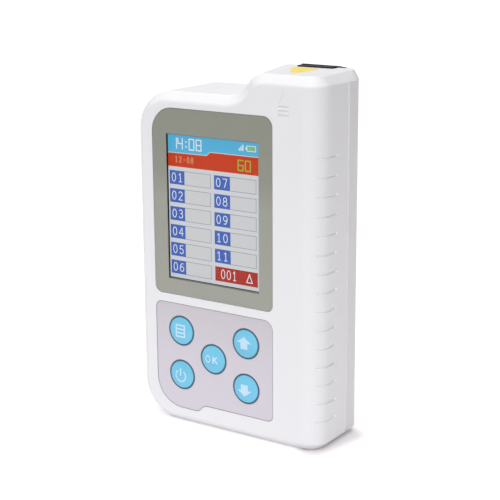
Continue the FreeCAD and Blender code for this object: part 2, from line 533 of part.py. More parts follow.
endcap = prism([(tx0, 119.0), (tx1, 119.0), (tx1, TRAY_Z[1] - 0.35), (tx1 - 0.35, TRAY_Z[1]),
                (tx0 + 0.2, TRAY_Z[1] + 0.15), (tx0, TRAY_Z[1] - 0.05)], ty0, ty1)
# Its top slopes down to the back.
endcap = endcap.cut(Part.Face(Part.makePolygon([
    V(0, ty0 + 0.5, TRAY_Z[1] + 0.4), V(0, ty1 + 0.5, TRAY_Z[1] - 0.75), V(0, ty1 + 0.5, TRAY_Z[1] + 1),
    V(0, ty0 + 0.5, TRAY_Z[1] + 1), V(0, ty0 + 0.5, TRAY_Z[1] + 0.4)])).extrude(V(60, 0, 0)))
endcap = endcap.cut(box(tx0 + 1.2, ty0 + 0.7, 118.0, tx1 - 1.2, ty1 - 0.7, 122.6))
# Its front runs on over the slot's front part.
endcap = endcap.fuse(prism([(tx0, 122.8), (tx1, 122.8), (tx1, TRAY_Z[1] - 0.45), (tx1 - 0.35, TRAY_Z[1] - 0.1),
                            (tx0 + 0.2, TRAY_Z[1] - 0.1), (tx0, TRAY_Z[1] - 0.3)], CAP_FRONT, ty0 + 0.5))
# A thin tail fills the gap on the right of it.
endcap = endcap.fuse(prism([(tx1 - 0.3, 122.8), (29.2, 122.8), (29.2, TRAY_Z[1] - 0.45), (tx1 - 0.3, TRAY_Z[1] - 0.1)], 14.85, ty1))
keep("tray_end_cap", endcap)

# ---------------------------------------------------------------- optics
head = box(13.4, -1.0, 95.5, 27.0, PLATE_Y[0], 110.5)
head = head.cut(box(15.0, -2.0, 97.1, 25.4, 7.4, 108.9)).cut(cyl_y(20.2, 103.0, 2.2, 7, 10))
for x, z in OPTICS_SCREWS:
    head = head.fuse(cyl_y(x, z, 1.5, -1.0, 7.6))
for x, z in OPTICS_SCREWS:
    head = head.cut(cyl_y(x, z, 0.55, -2, 10))
keep("optical_head", head)
lens = cyl_y(20.2, 103.0, 2.2, 7.6, 9.6).common(Part.makeSphere(5.0, V(20.2, 9.4 - 5.0 + 0.4, 103.0)))
keep("optical_lens", lens)
keep("optical_board", box(12.8, -2.4, 94.5, 27.6, -1.0, 111.5).cut(
    cyl_y(OPTICS_SCREWS[0][0], OPTICS_SCREWS[0][1], 0.6, -3, 0)).cut(
    cyl_y(OPTICS_SCREWS[1][0], OPTICS_SCREWS[1][1], 0.6, -3, 0)))
keep("light_sources", Part.makeCompound([fuse(cyl_y(x, 103.0, 1.25, -1.0, 1.6), Part.makeSphere(1.25, V(x, 1.6, 103.0)))
                                         for x in (17.0, 23.4)]))
keep("light_detector", box(18.9, -1.0, 101.7, 21.5, 0.3, 104.3))
keep("optics_screws", Part.makeCompound([fuse(cyl_y(x, z, 1.1, -3.2, -2.4), cyl_y(x, z, 0.53, -2.4, 10.2)).cut(
    box(x - 0.2, -4, z - 0.7, x + 0.2, -2.8, z + 0.7)) for x, z in OPTICS_SCREWS]))
keep("sensor_header", box(15.0, BOARD_Y[1], 95.0, 22.4, -2.4, 97.6))
keep("tray_sensor", box(15.4, 3.6, 24.4, 21.0, PLATE_Y[0], 30.0).cut(cyl_y(18.2, 27.2, 0.9, 8.3, 10)))

# ---------------------------------------------------------------- fasteners, label
keep("case_screws", Part.makeCompound([cross_screw(x, z, 2.2, 9.1, 1.7, 0.92, -4.5) for x, z in CASE_SCREWS]))
keep("rear_label", prism(rrect(*LABEL, 2.0), 16.75, 16.98))

os.makedirs("parts", exist_ok=True)
for old in os.listdir("parts"):
    if old.endswith(".step") and old[:-5] not in NODES:
        os.remove(os.path.join("parts", old))
for name, shape in NODES.items():
    shape.exportStep("parts/%s.step" % name)
    bb = shape.optimalBoundingBox(False, False)
    print("%-20s solids %2d vol %9.1f valid %s  X %.2f..%.2f Y %.2f..%.2f Z %.2f..%.2f" % (
        name, len(shape.Solids), shape.Volume, shape.isValid(), bb.XMin, bb.XMax, bb.YMin, bb.YMax, bb.ZMin, bb.ZMax))
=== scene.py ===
import bpy
import bmesh
import math
from mathutils import Matrix, Vector


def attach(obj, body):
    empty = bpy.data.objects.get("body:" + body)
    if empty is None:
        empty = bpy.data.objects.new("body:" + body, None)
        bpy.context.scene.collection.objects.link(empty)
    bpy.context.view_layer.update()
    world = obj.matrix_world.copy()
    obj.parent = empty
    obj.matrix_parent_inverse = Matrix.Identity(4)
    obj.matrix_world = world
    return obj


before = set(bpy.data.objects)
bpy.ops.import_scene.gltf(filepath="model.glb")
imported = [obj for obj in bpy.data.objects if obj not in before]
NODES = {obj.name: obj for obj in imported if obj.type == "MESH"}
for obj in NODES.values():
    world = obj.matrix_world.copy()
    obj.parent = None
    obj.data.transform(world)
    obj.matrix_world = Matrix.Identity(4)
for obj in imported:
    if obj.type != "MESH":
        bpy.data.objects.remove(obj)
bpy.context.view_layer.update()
MM = 0.001
scene = bpy.context.scene
scene.view_settings.view_transform = "Standard"
scene.view_settings.look = "None"


# ------------------------------------------------------------------ materials
def srgb(r, g, b):
    """0-255 screen values to linear colour."""
    out = []
    for c in (r, g, b):
        c /= 255.0
        out.append(c / 12.92 if c <= 0.04045 else ((c + 0.055) / 1.055) ** 2.4)
    return (*out, 1.0)


def shade(c, k):
    return (min(1.0, c[0] * k), min(1.0, c[1] * k), min(1.0, c[2] * k), 1.0)


class Mat:
    """A small builder round one material's node tree."""

    def __init__(self, name):
        self.m = bpy.data.materials.new(name)
        self.m.use_nodes = True
        self.t = self.m.node_tree
        self.bsdf = next(n for n in self.t.nodes if n.type == "BSDF_PRINCIPLED")
        self.out = next(n for n in self.t.nodes if n.type == "OUTPUT_MATERIAL")
        self.coord = self.t.nodes.new("ShaderNodeTexCoord")

    def node(self, kind, **props):
        n = self.t.nodes.new(kind)
        for k, v in props.items():
            setattr(n, k, v)
        return n

    def link(self, a, b):
        self.t.links.new(a, b)

    def noise(self, scale, detail=3.0, rough=0.5, stretch=None):
        n = self.node("ShaderNodeTexNoise")
        n.inputs["Scale"].default_value = scale
        n.inputs["Detail"].default_value = detail
        n.inputs["Roughness"].default_value = rough
        src = self.coord.outputs["Object"]
        if stretch:
            mp = self.node("ShaderNodeMapping")
            mp.inputs["Scale"].default_value = stretch
            self.link(src, mp.inputs["Vector"])
            src = mp.outputs["Vector"]
        self.link(src, n.inputs["Vector"])
        return n.outputs["Fac"]

    def ramp(self, fac, stops):
        r = self.node("ShaderNodeValToRGB")
        els = r.color_ramp.elements
        while len(els) < len(stops):
            els.new(0.5)
        for e, (p, c) in zip(els, stops):
            e.position = p
            e.color = c
        self.link(fac, r.inputs["Fac"])
        return r.outputs["Color"]

    def span(self, fac, lo, hi, a=0.0, b=1.0):
        r = self.node("ShaderNodeMapRange")
        r.inputs["From Min"].default_value = a
        r.inputs["From Max"].default_value = b
        r.inputs["To Min"].default_value = lo
        r.inputs["To Max"].default_value = hi
        self.link(fac, r.inputs["Value"])
        return r.outputs["Result"]

    def axis(self, name):
        s = self.node("ShaderNodeSeparateXYZ")
        self.link(self.coord.outputs["Object"], s.inputs["Vector"])
        return s.outputs[name]

    def bump(self, height, strength, distance, under=None):
        b = self.node("ShaderNodeBump")
        b.inputs["Strength"].default_value = strength
        b.inputs["Distance"].default_value = distance
        self.link(height, b.inputs["Height"])
        if under is not None:
            self.link(under, b.inputs["Normal"])
        return b.outputs["Normal"]


def plastic(name, colour, rough=0.4, grain=2600.0, bump=0.05, vary=0.03, spec=0.5, coat=0.0, tone=18.0):
    """Moulded plastic: faint tone drift, spark-eroded grain in bump and roughness."""
    m = Mat(name)
    drift = m.noise(tone, 2.0)
    col = m.ramp(drift, [(0.3, shade(colour, 1.0 - vary)), (0.7, shade(colour, 1.0 + vary))])
    m.link(col, m.bsdf.inputs["Base Color"])
    g = m.noise(grain, 2.0, 0.6)
    m.link(m.span(g, rough - 0.05, rough + 0.06, 0.3, 0.7), m.bsdf.inputs["Roughness"])
    m.link(m.bump(g, bump, 0.00002), m.bsdf.inputs["Normal"])
    m.bsdf.inputs["Specular IOR Level"].default_value = spec
    if coat:
        m.bsdf.inputs["Coat Weight"].default_value = coat
        m.bsdf.inputs["Coat Roughness"].default_value = 0.12
    return m.m


def metal(name, colour, rough=0.3, brush=(30.0, 30.0, 2200.0)):
    m = Mat(name)
    g = m.noise(1.0, 3.0, 0.6, stretch=brush)
    m.link(m.ramp(g, [(0.25, shade(colour, 0.86)), (0.75, shade(colour, 1.08))]), m.bsdf.inputs["Base Color"])
    m.link(m.span(g, rough - 0.08, rough + 0.1, 0.3, 0.7), m.bsdf.inputs["Roughness"])
    m.link(m.bump(g, 0.08, 0.00002), m.bsdf.inputs["Normal"])
    m.bsdf.inputs["Metallic"].default_value = 1.0
    return m.m


def give(mat, *names):
    for n in names:
        o = NODES[n]
        o.data.materials.clear()
        o.data.materials.append(mat)


WHITE = (0.785, 0.787, 0.805, 1.0)
shell = plastic("case_plastic", WHITE, rough=0.38, grain=3200.0, bump=0.06, vary=0.008, spec=0.27)
give(shell, "front_shell")


def rear_plastic_painted_shade():
    """The rear shell's white, with painted shade: a little greyer on its two narrow sides, which turn away from the
    light.
    """
    m = Mat("case_plastic_rear_painted_shade")
    drift = m.noise(18.0, 2.0)
    face = m.ramp(drift, [(0.3, shade(WHITE, 0.992)), (0.7, shade(WHITE, 1.008))])
    # painted shade: the grey of the two narrow sides stands in for the shade where they turn from the light
    grey = (WHITE[0] * 0.945, WHITE[1] * 0.925, WHITE[2] * 0.935, 1.0)
    side = m.ramp(drift, [(0.3, shade(grey, 0.992)), (0.7, shade(grey, 1.008))])
    x = m.node("ShaderNodeMath", operation="ABSOLUTE")
    m.link(m.axis("X"), x.inputs[0])
    mix = m.node("ShaderNodeMix", data_type="RGBA")
    m.link(m.span(x.outputs["Value"], 0.0, 1.0, 0.0362, 0.0368), mix.inputs["Factor"])
    m.link(face, mix.inputs["A"])
    m.link(side, mix.inputs["B"])
    m.link(mix.outputs["Result"], m.bsdf.inputs["Base Color"])
    g = m.noise(3200.0, 2.0, 0.6)
    m.link(m.span(g, 0.34, 0.45, 0.3, 0.7), m.bsdf.inputs["Roughness"])
    m.link(m.bump(g, 0.06, 0.00002), m.bsdf.inputs["Normal"])
    m.bsdf.inputs["Specular IOR Level"].default_value = 0.27
    return m.m


give(rear_plastic_painted_shade(), "rear_shell")
give(plastic("tray_plastic", (0.84, 0.84, 0.82, 1), 0.45), "strip_tray", "tray_chassis")
give(plastic("black_plastic", (0.012, 0.012, 0.014, 1), 0.38, bump=0.1, vary=0.2), "tray_end_cap", "optical_head")


def overlay_film():
    """Grey-lilac film with painted light: a shade deeper towards its upper edge and lighter low down, where the
    floor's bounce falls.
    """
    m = Mat("overlay_film")
    z = m.span(m.axis("Z"), 0.0, 1.0, 0.044, 0.020)
    # painted light: the film lightens towards the bottom as if lit by the floor's bounce
    c = m.ramp(z, [(0.0, srgb(199, 195, 201)), (0.6, srgb(204, 200, 208)), (1.0, srgb(206, 202, 211))])
    v = m.node("ShaderNodeMix", data_type="RGBA", blend_type="MULTIPLY")
    v.inputs["Factor"].default_value = 1.0
    m.link(c, v.inputs["A"])
    m.link(m.ramp(m.noise(18.0, 2.0), [(0.3, (0.985, 0.985, 0.985, 1)), (0.7, (1, 1, 1, 1))]), v.inputs["B"])
    m.link(v.outputs["Result"], m.bsdf.inputs["Base Color"])
    g = m.noise(5200.0, 2.0, 0.6)
    m.link(m.span(g, 0.45, 0.56, 0.3, 0.7), m.bsdf.inputs["Roughness"])
    m.link(m.bump(g, 0.16, 0.00002), m.bsdf.inputs["Normal"])
    return m.m


give(overlay_film(), "keypad_overlay")
give(plastic("mat_rubber", (0.35, 0.37, 0.4, 1), 0.7, grain=4000.0, bump=0.1), "key_mat")
give(plastic("gasket_foam", (0.03, 0.03, 0.032, 1), 0.9, grain=7000.0, bump=0.5, vary=0.3), "window_gasket", "battery_pad")
give(plastic("connector_plastic", (0.75, 0.73, 0.64, 1), 0.5), "battery_socket", "battery_plug", "motor_gear", "reduction_gear")
give(plastic("chip_epoxy", (0.02, 0.02, 0.022, 1), 0.55, grain=6000.0, bump=0.2, vary=0.15),
     "processor_chip", "buzzer", "tray_sensor", "light_detector", "sensor_header", "display_connector")
give(plastic("flex_film", (0.50, 0.20, 0.03, 1), 0.35, vary=0.08), "display_flex")
give(plastic("reference_tile", (0.88, 0.88, 0.86, 1), 0.75, grain=7000.0, bump=0.2), "reference_pad")
give(plastic("cell_wrap", (0.12, 0.25, 0.5, 1), 0.3, vary=0.06), "battery_pack")
give(plastic("wire_red", (0.45, 0.02, 0.015, 1), 0.4), "battery_lead", "motor_lead")
give(plastic("label_stock", (0.72, 0.73, 0.74, 1), 0.55, grain=5200.0, bump=0.08, vary=0.015), "rear_label")
give(plastic("led_epoxy", (0.85, 0.87, 0.9, 1), 0.12, vary=0.01), "light_sources")
steel = metal("formed_steel", (0.62, 0.63, 0.65, 1), 0.3)
give(steel, "display_frame", "wireless_module", "drive_motor", "usb_socket", "gear_axle", "key_switches")
give(metal("screw_steel", (0.55, 0.55, 0.57, 1), 0.28, (900.0, 900.0, 900.0)),
     "case_screws", "board_screws", "chassis_screws", "optics_screws")


def board_mat():
    m = Mat("board_laminate")
    v = m.node("ShaderNodeTexVoronoi")
    v.feature = "DISTANCE_TO_EDGE"
    v.inputs["Scale"].default_value = 320.0
    m.link(m.coord.outputs["Object"], v.inputs["Vector"])
    col = m.ramp(v.outputs["Distance"], [(0.02, (0.03, 0.20, 0.07, 1)), (0.08, (0.012, 0.10, 0.035, 1))])
    m.link(col, m.bsdf.inputs["Base Color"])
    m.link(m.span(m.noise(900.0), 0.25, 0.4), m.bsdf.inputs["Roughness"])
    m.link(m.bump(v.outputs["Distance"], 0.1, 0.00002), m.bsdf.inputs["Normal"])
    return m.m


give(board_mat(), "main_board", "optical_board")


def key_mat_():
    """Blue key: bright cap, with painted shade on the skirt below the overlay's surface, dark as the gap round the
    cap.
    """
    m = Mat("key_blue")
    y = m.axis("Y")
    top = m.ramp(m.noise(60.0, 2.0), [(0.3, srgb(106, 189, 221)), (0.7, srgb(115, 198, 229))])
    f = m.span(y, 0.0, 1.0, -0.01500, -0.01480)
    mix = m.node("ShaderNodeMix", data_type="RGBA")
    m.link(f, mix.inputs["Factor"])
    m.link(top, mix.inputs["A"])
    # painted shade: the skirt's dark blue stands in for the shade in the gap round the cap
    mix.inputs["B"].default_value = srgb(58, 92, 118)
    m.link(mix.outputs["Result"], m.bsdf.inputs["Base Color"])
    g = m.noise(3000.0, 2.0)
    m.link(m.span(g, 0.3, 0.42, 0.3, 0.7), m.bsdf.inputs["Roughness"])
    m.link(m.bump(g, 0.05, 0.00002), m.bsdf.inputs["Normal"])
    return m.m


KEYS = {"menu_key": (-18.72, 34.01), "power_key": (-18.72, 17.79), "ok_key": (-5.10, 25.94),
        "up_key": (8.46, 34.01), "down_key": (8.46, 17.79)}
give(key_mat_(), *KEYS)


def clear_mat(name, tint, gloss_rough, ior=1.45, sheen=1.0):
    """Clear hard-coated window: see-through with a Fresnel sheen and faint coating ripple."""
    m = Mat(name)
    m.t.nodes.remove(m.bsdf)
    tr = m.node("ShaderNodeBsdfTransparent")
    tr.inputs["Color"].default_value = tint
    gl = m.node("ShaderNodeBsdfGlossy")
    gl.inputs["Roughness"].default_value = gloss_rough
    gl.inputs["Color"].default_value = (sheen, sheen, sheen, 1)
    n = m.bump(m.noise(40.0, 2.0), 0.02, 0.0001)
    m.link(n, gl.inputs["Normal"])
    # The same reflectance from both sides, so that the far face isn't a mirror at a slant.
    lw = m.node("ShaderNodeLayerWeight")
    lw.inputs["Blend"].default_value = 0.5
    up = m.node("ShaderNodeMath", operation="POWER")
    m.link(lw.outputs["Facing"], up.inputs[0])
    up.inputs[1].default_value = 5.0
    mix = m.node("ShaderNodeMixShader")
    m.link(m.span(up.outputs["Value"], ((ior - 1.0) / (ior + 1.0)) ** 2, 0.7), mix.inputs["Fac"])
    m.link(tr.outputs["BSDF"], mix.inputs[1])
    m.link(gl.outputs["BSDF"], mix.inputs[2])
    m.link(mix.outputs["Shader"], m.out.inputs["Surface"])
    return m.m


give(clear_mat("window_clear", (0.985, 0.99, 0.985, 1), 0.12, 1.3, 0.4), "display_window")
give(clear_mat("lens_clear", (0.93, 0.95, 0.97, 1), 0.03), "optical_lens")
give(plastic("panel_black", (0.012, 0.012, 0.014, 1), 0.25, vary=0.1), "display_panel")


# ------------------------------------------------------------------ flat shapes
def rect(x0, z0, x1, z1):
    return [(x0, z0), (x1, z0), (x1, z1), (x0, z1)]


def round_rect(x0, z0, x1, z1, r, n=8):
    r4 = r if isinstance(r, tuple) else (r, r, r, r)
    pts = []
    for (cx, cz, a0), rr in zip(((x0 + r4[0], z0 + r4[0], 180), (x1 - r4[1], z0 + r4[1], 270),
                                 (x1 - r4[2], z1 - r4[2], 0), (x0 + r4[3], z1 - r4[3], 90)), r4):
        for k in range(n + 1):
            a = math.radians(a0 + 90.0 * k / n)
            pts.append((cx + rr * math.cos(a), cz + rr * math.sin(a)))
    return pts


def piece(name, bm, mat, body, smooth=False):
    bmesh.ops.recalc_face_normals(bm, faces=bm.faces)
    me = bpy.data.meshes.new(name)
    bm.to_mesh(me)
    bm.free()
    if smooth:
        for p in me.polygons:
            p.use_smooth = True
    o = bpy.data.objects.new(name, me)
    scene.collection.objects.link(o)
    me.materials.append(mat)
    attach(o, body)
    return o


def slab(bm, pts, y0, y1):
    """A flat closed plate with outline pts in XZ, between two Y planes, in millimetres."""
    a = [bm.verts.new((x * MM, y0 * MM, z * MM)) for x, z in pts]
    b = [bm.verts.new((x * MM, y1 * MM, z * MM)) for x, z in pts]
    n = len(pts)
    bm.faces.new(a)
    bm.faces.new(list(reversed(b)))
    for i in range(n):
        j = (i + 1) % n
        bm.faces.new((a[i], b[i], b[j], a[j]))


def stroke(p, q, w, over=0.5):
    """A straight bar from p to q, w wide, running over each end by over * w."""
    dx, dz = q[0] - p[0], q[1] - p[1]
    ln = math.hypot(dx, dz)
    nx, nz = -dz / ln * w / 2, dx / ln * w / 2
    ex, ez = dx / ln * w * over, dz / ln * w * over
    return [(p[0] - ex + nx, p[1] - ez + nz), (p[0] - ex - nx, p[1] - ez - nz),
            (q[0] + ex - nx, q[1] + ez - nz), (q[0] + ex + nx, q[1] + ez + nz)]


def ring(cx, cz, rx, rz, a0=0.0, a1=360.0, n=16):
    return [(cx + rx * math.cos(math.radians(a0 + (a1 - a0) * k / n)),
             cz + rz * math.sin(math.radians(a0 + (a1 - a0) * k / n))) for k in range(n + 1)]


# Pen paths of the numerals in a unit cell.
PEN = {
    "0": [ring(0.5, 0.5, 0.42, 0.5)],
    "1": [[(0.2, 0.8), (0.52, 1.0), (0.52, 0.0)], [(0.2, 0.0), (0.84, 0.0)]],
    "2": [ring(0.5, 0.72, 0.4, 0.28, 165, -20, 9) + [(0.08, 0.0), (0.95, 0.0)]],
    "3": [ring(0.46, 0.76, 0.38, 0.24, 150, -90, 9) + ring(0.46, 0.27, 0.44, 0.27, 85, -150, 10)],
    "4": [[(0.7, 0.0), (0.7, 1.0), (0.04, 0.3), (0.96, 0.3)]],
    "5": [[(0.86, 1.0), (0.2, 1.0), (0.14, 0.52)] + ring(0.46, 0.31, 0.42, 0.31, 125, -150, 11)],
    "6": [[(0.8, 0.94), (0.5, 0.98), (0.2, 0.76), (0.08, 0.36)], ring(0.5, 0.3, 0.42, 0.3)],
    "7": [[(0.06, 1.0), (0.94, 1.0), (0.4, 0.0)]],
    "8": [ring(0.5, 0.76, 0.36, 0.24), ring(0.5, 0.27, 0.43, 0.27)],
    "9": [[(0.2, 0.06), (0.5, 0.02), (0.8, 0.24), (0.92, 0.64)], ring(0.5, 0.7, 0.42, 0.3)],
    "-": [[(0.1, 0.48), (0.9, 0.48)]],
}
# Square seven-segment style numerals of the clock and the counter.
SEG = {"0": "abcdef", "1": "bc", "2": "abged", "3": "abgcd", "4": "fgbc", "5": "afgcd", "6": "afgedc",
       "7": "abc", "8": "abcdefg", "9": "abcdfg"}


def pen(text, x, z, w, h, t, gap):
    """Numerals drawn with a round-jointed pen: list of outlines."""
    out = []
    for ch in text:
        for path in PEN[ch]:
            pts = [(x + t / 2 + u * (w - t), z + t / 2 + v * (h - t)) for u, v in path]
            for p, q in zip(pts, pts[1:]):
                out.append(stroke(p, q, t, 0.25))
        x += w + gap
    return out


def digits(text, x, z, w, h, t, gap):
    """Segment numerals: list of outlines. x, z is the lower left corner of the first one."""
    out = []
    for ch in text:
        if ch == ":":
            for k in (0.28, 0.68):
                out.append(rect(x, z + h * k - t * 0.6, x + t * 1.1, z + h * k + t * 0.6))
            x += t * 1.1 + gap
            continue
        c = t / 2
        p = {"tl": (x + c, z + h - c), "tr": (x + w - c, z + h - c), "ml": (x + c, z + h / 2),
             "mr": (x + w - c, z + h / 2), "bl": (x + c, z + c), "br": (x + w - c, z + c)}
        s = {"a": ("tl", "tr"), "b": ("mr", "tr"), "c": ("br", "mr"), "d": ("bl", "br"), "e": ("bl", "ml"),
             "f": ("ml", "tl"), "g": ("ml", "mr")}
        for k in SEG[ch]:
            out.append(stroke(p[s[k][0]], p[s[k][1]], t, 0.3))
        x += w + gap
    return out


# ------------------------------------------------------------------ picture on the display
PY = -12.70
L0, R0, B0, T0 = -24.6, 12.6, 52.5, 102.85


def lit(name, colour, glow=0.75, vary=0.02):
    """A lit patch of the display: pixel rows show as a faint fine grid."""
    m = Mat(name)
    w = m.node("ShaderNodeTexWave")
    w.wave_type, w.bands_direction = "BANDS", "Z"
    w.inputs["Scale"].default_value = 1050.0
    m.link(m.coord.outputs["Object"], w.inputs["Vector"])
    m.link(m.ramp(w.outputs["Fac"], [(0.1, shade(colour, 0.107)), (0.9, shade(colour, 0.128))]), m.bsdf.inputs["Base Color"])
    m.link(m.ramp(w.outputs["Fac"], [(0.1, shade(colour, 1.0 - vary)), (0.9, shade(colour, 1.0 + vary))]),
           m.bsdf.inputs["Emission Color"])
    m.bsdf.inputs["Emission Strength"].default_value = glow
    m.bsdf.inputs["Roughness"].default_value = 0.5
    m.bsdf.inputs["Specular IOR Level"].default_value = 0.1
    return m.m


def screen(name, colour, outlines, level, glow=0.75):
    bm = bmesh.new()
    for o in outlines:
        slab(bm, o, PY - 0.012 * level, PY + 0.0)
    return piece(name, bm, lit(name + "_lit", colour, glow), "case")


screen("screen_ground", srgb(222, 225, 230), [rect(L0, B0, R0, T0)], 1)
screen("screen_header", srgb(93, 189, 234),
       [[(L0, 96.75), (-8.4, 96.95), (-7.0, 98.2), (R0, 98.25), (R0, T0), (L0, T0)]], 2)
screen("screen_band", srgb(213, 65, 26),
       [[(L0, 91.85), (R0, 91.95), (R0, 98.0), (-6.9, 97.95), (-8.3, 96.7), (L0, 96.5)]], 2)
top = [90.50 - 6.35 * k for k in range(6)]
labels, fields, edges = [], [], []
for k, t in enumerate(top):
    b = t - 4.85
    labels.append(rect(-24.10, b, -17.78, t))
    fields.append(rect(-17.78, b, -6.85, t))
    e = 0.16
    edges += [rect(-17.78, t - e, -6.85, t), rect(-17.78, b, -6.85, b + e), rect(-6.85 - e, b, -6.85, t)]
    if k < 5:
        labels.append(rect(-5.45, b, 1.08, t))
        fields.append(rect(1.08, b, 11.60, t))
        edges += [rect(1.08, t - e, 11.60, t), rect(1.08, b, 11.60, b + e), rect(11.60 - e, b, 11.60, t)]
screen("screen_fields", srgb(220, 220, 223), fields, 2)
screen("screen_rules", srgb(138, 140, 152), edges, 3)
screen("screen_labels", srgb(76, 108, 196), labels, 2)
screen("screen_count", srgb(186, 54, 42), [rect(-5.40, 53.8, 12.05, 58.9)], 2)
white = []
white += digits("1", -22.3, 97.95, 1.6, 4.0, 0.38, 0.5)
white += digits("4", -20.45, 97.95, 2.2, 4.0, 0.38, 0.5)
white += digits(":", -17.1, 97.95, 2.0, 4.0, 0.46, 0.5)
white += digits("08", -15.75, 97.95, 2.35, 4.0, 0.38, 0.62)
for k, t in enumerate(top):
    white += pen(str(k + 1).zfill(2), -23.35, t - 3.95, 2.1, 3.15, 0.27, 0.62)
    if k < 5:
        white += pen(str(k + 7).zfill(2), -4.75, t - 3.95, 2.1, 3.15, 0.27, 0.62)
white += pen("001", -3.1, 54.75, 1.95, 3.4, 0.26, 0.4)
white += [stroke((7.55, 55.0), (8.7, 57.9), 0.3), stroke((8.7, 57.9), (9.85, 55.0), 0.3), stroke((7.55, 55.0), (9.85, 55.0), 0.3)]
for k, h in enumerate((0.8, 1.45, 2.1)):
    white.append(rect(4.75 + 0.72 * k, 99.75, 5.2 + 0.72 * k, 99.75 + h))
for r in (rect(7.9, 99.75, 11.55, 99.98), rect(7.9, 101.47, 11.55, 101.7), rect(7.9, 99.75, 8.13, 101.7),
          rect(11.32, 99.75, 11.55, 101.7), rect(7.5, 100.3, 7.9, 101.15)):
    white.append(r)
screen("screen_white", srgb(236, 243, 250), white, 4, 0.8)
screen("screen_battery", srgb(148, 205, 92),
       [rect(8.25 + 1.0 * k, 100.08, 9.08 + 1.0 * k, 101.36) for k in range(3)], 4, 0.75)
screen("screen_score", srgb(164, 196, 70), digits("60", 4.25, 92.95, 2.35, 3.75, 0.40, 0.55), 4, 0.75)
screen("screen_date", srgb(226, 178, 128), pen("12-08", -21.7, 93.4, 1.25, 2.15, 0.24, 0.42), 4, 0.7)

# printed mask on the back of the window
def mask():
    """Ink border: a sheet close behind the film and one right under the front surface."""
    bm = bmesh.new()
    for y, outer, inner in ((-13.72, round_rect(-29.42, 47.10, 19.19, 112.09, (2.45, 2.15, 3.35, 8.35), 12),
                             rect(-24.4, 52.6, 13.4, 103.1)),
                            (-14.868, round_rect(-29.52, 47.00, 19.29, 112.19, (2.55, 2.25, 3.45, 8.45), 12),
                             rect(-23.72, 52.5, 13.9, 103.5))):
        f = bmesh.new()
        ov = [f.verts.new((x * MM, y * MM, z * MM)) for x, z in outer]
        iv = [f.verts.new((x * MM, y * MM, z * MM)) for x, z in inner]
        eo = [f.edges.new((ov[i], ov[(i + 1) % len(ov)])) for i in range(len(ov))]
        ei = [f.edges.new((iv[i], iv[(i + 1) % 4])) for i in range(4)]
        bmesh.ops.triangle_fill(f, use_beauty=True, edges=eo + ei)
        r = bmesh.ops.extrude_face_region(f, geom=list(f.faces))
        for v in [g for g in r["geom"] if isinstance(g, bmesh.types.BMVert)]:
            v.co.y += 0.00001
        me = bpy.data.meshes.new("tmp")
        f.to_mesh(me)
        f.free()
        bm.from_mesh(me)
        bpy.data.meshes.remove(me)
    return bm


def mask_ink():
    """Grey-green ink, a little lighter in the lower half of the window."""
    m = Mat("mask_ink")
    z = m.span(m.axis("Z"), 0.0, 1.0, 0.118, 0.052)
    c = m.ramp(z, [(0.0, srgb(143, 146, 134)), (0.42, srgb(146, 148, 137)), (0.56, srgb(159, 161, 151)), (1.0, srgb(161, 162, 153))])
    m.link(c, m.bsdf.inputs["Base Color"])
    g = m.noise(1400.0, 2.0)
    m.link(m.span(g, 0.45, 0.55, 0.3, 0.7), m.bsdf.inputs["Roughness"])
    m.link(m.bump(g, 0.02, 0.00002), m.bsdf.inputs["Normal"])
    return m.m


piece("window_print", mask(), mask_ink(), "case")


# ------------------------------------------------------------------ key icons
def crown_y(x, z, cx, cz):
    r2 = (x - cx) ** 2 + (z - cz) ** 2
    return -15.42 + 26.0 - math.sqrt(26.0 ** 2 - r2)


def icon(name, key, outlines, mat):
    """Printed mark that follows the crown of a key."""
    cx, cz = KEYS[key]
    bm = bmesh.new()
    for pts in outlines:
        f = bmesh.new()
        slab(f, [(cx + x, cz + z) for x, z in pts], -15.5, -15.4)
        bmesh.ops.triangulate(f, faces=f.faces)
        bmesh.ops.subdivide_edges(f, edges=f.edges, cuts=3, use_grid_fill=True)
        me = bpy.data.meshes.new("tmp")
        f.to_mesh(me)
        f.free()
        bm.from_mesh(me)
        bpy.data.meshes.remove(me)
    for v in bm.verts:
        x, y, z = v.co.x / MM, v.co.y / MM, v.co.z / MM
        s = crown_y(x, z, cx, cz)
        v.co.y = (s - 0.012 if y < -15.45 else s + 0.02) * MM
    return piece(name, bm, mat, key)


def ink(name, colour):
    return plastic(name, colour, 0.5, grain=4000.0, bump=0.04, vary=0.02)


def arc(r, a0, a1, w, n=24):
    """A ring cut into short bars, angles in degrees from +X."""
    o = ring(0.0, 0.0, r, r, a0, a1, n)
    return [stroke(p, q, w, 0.2) for p, q in zip(o, o[1:])]


def moved(outlines, dx, dz, kx=1.0, kz=1.0):
    return [[(dx + kx * x, dz + kz * z) for x, z in o] for o in outlines]


menu = [rect(-2.25, z - 0.27, 1.85, z + 0.27) for z in (-2.1, -0.72, 0.66, 2.04)]
menu += [rect(-2.25, -2.1, -1.75, 2.04), rect(1.35, -2.1, 1.85, 2.04)]
icon("icon_menu", "menu_key", menu, ink("icon_ink_menu", srgb(196, 224, 244)))
icon("icon_power", "power_key", moved(arc(2.1, 128, 412, 0.55), -0.4, -0.45) + [rect(-0.68, -0.4, -0.12, 2.35)],
     ink("icon_ink_power", srgb(184, 226, 245)))
icon("icon_up", "up_key", [[(-3.5, 0.3), (-0.5, 2.5), (2.5, 0.3)], rect(-1.95, -1.9, 0.95, 0.35)],
     ink("icon_ink_up", srgb(190, 222, 242)))
icon("icon_down", "down_key", [[(-3.4, -0.5), (2.5, -0.5), (-0.45, -2.7)], rect(-1.9, -0.55, 1.0, 1.5)],
     ink("icon_ink_down", srgb(194, 222, 243)))
k_letter = [stroke((0.15, -1.25), (0.15, 1.25), 0.5, 0.0), stroke((0.3, 0.0), (1.6, 1.2), 0.45, 0.2),
            stroke((0.65, 0.3), (1.75, -1.15), 0.45, 0.2)]
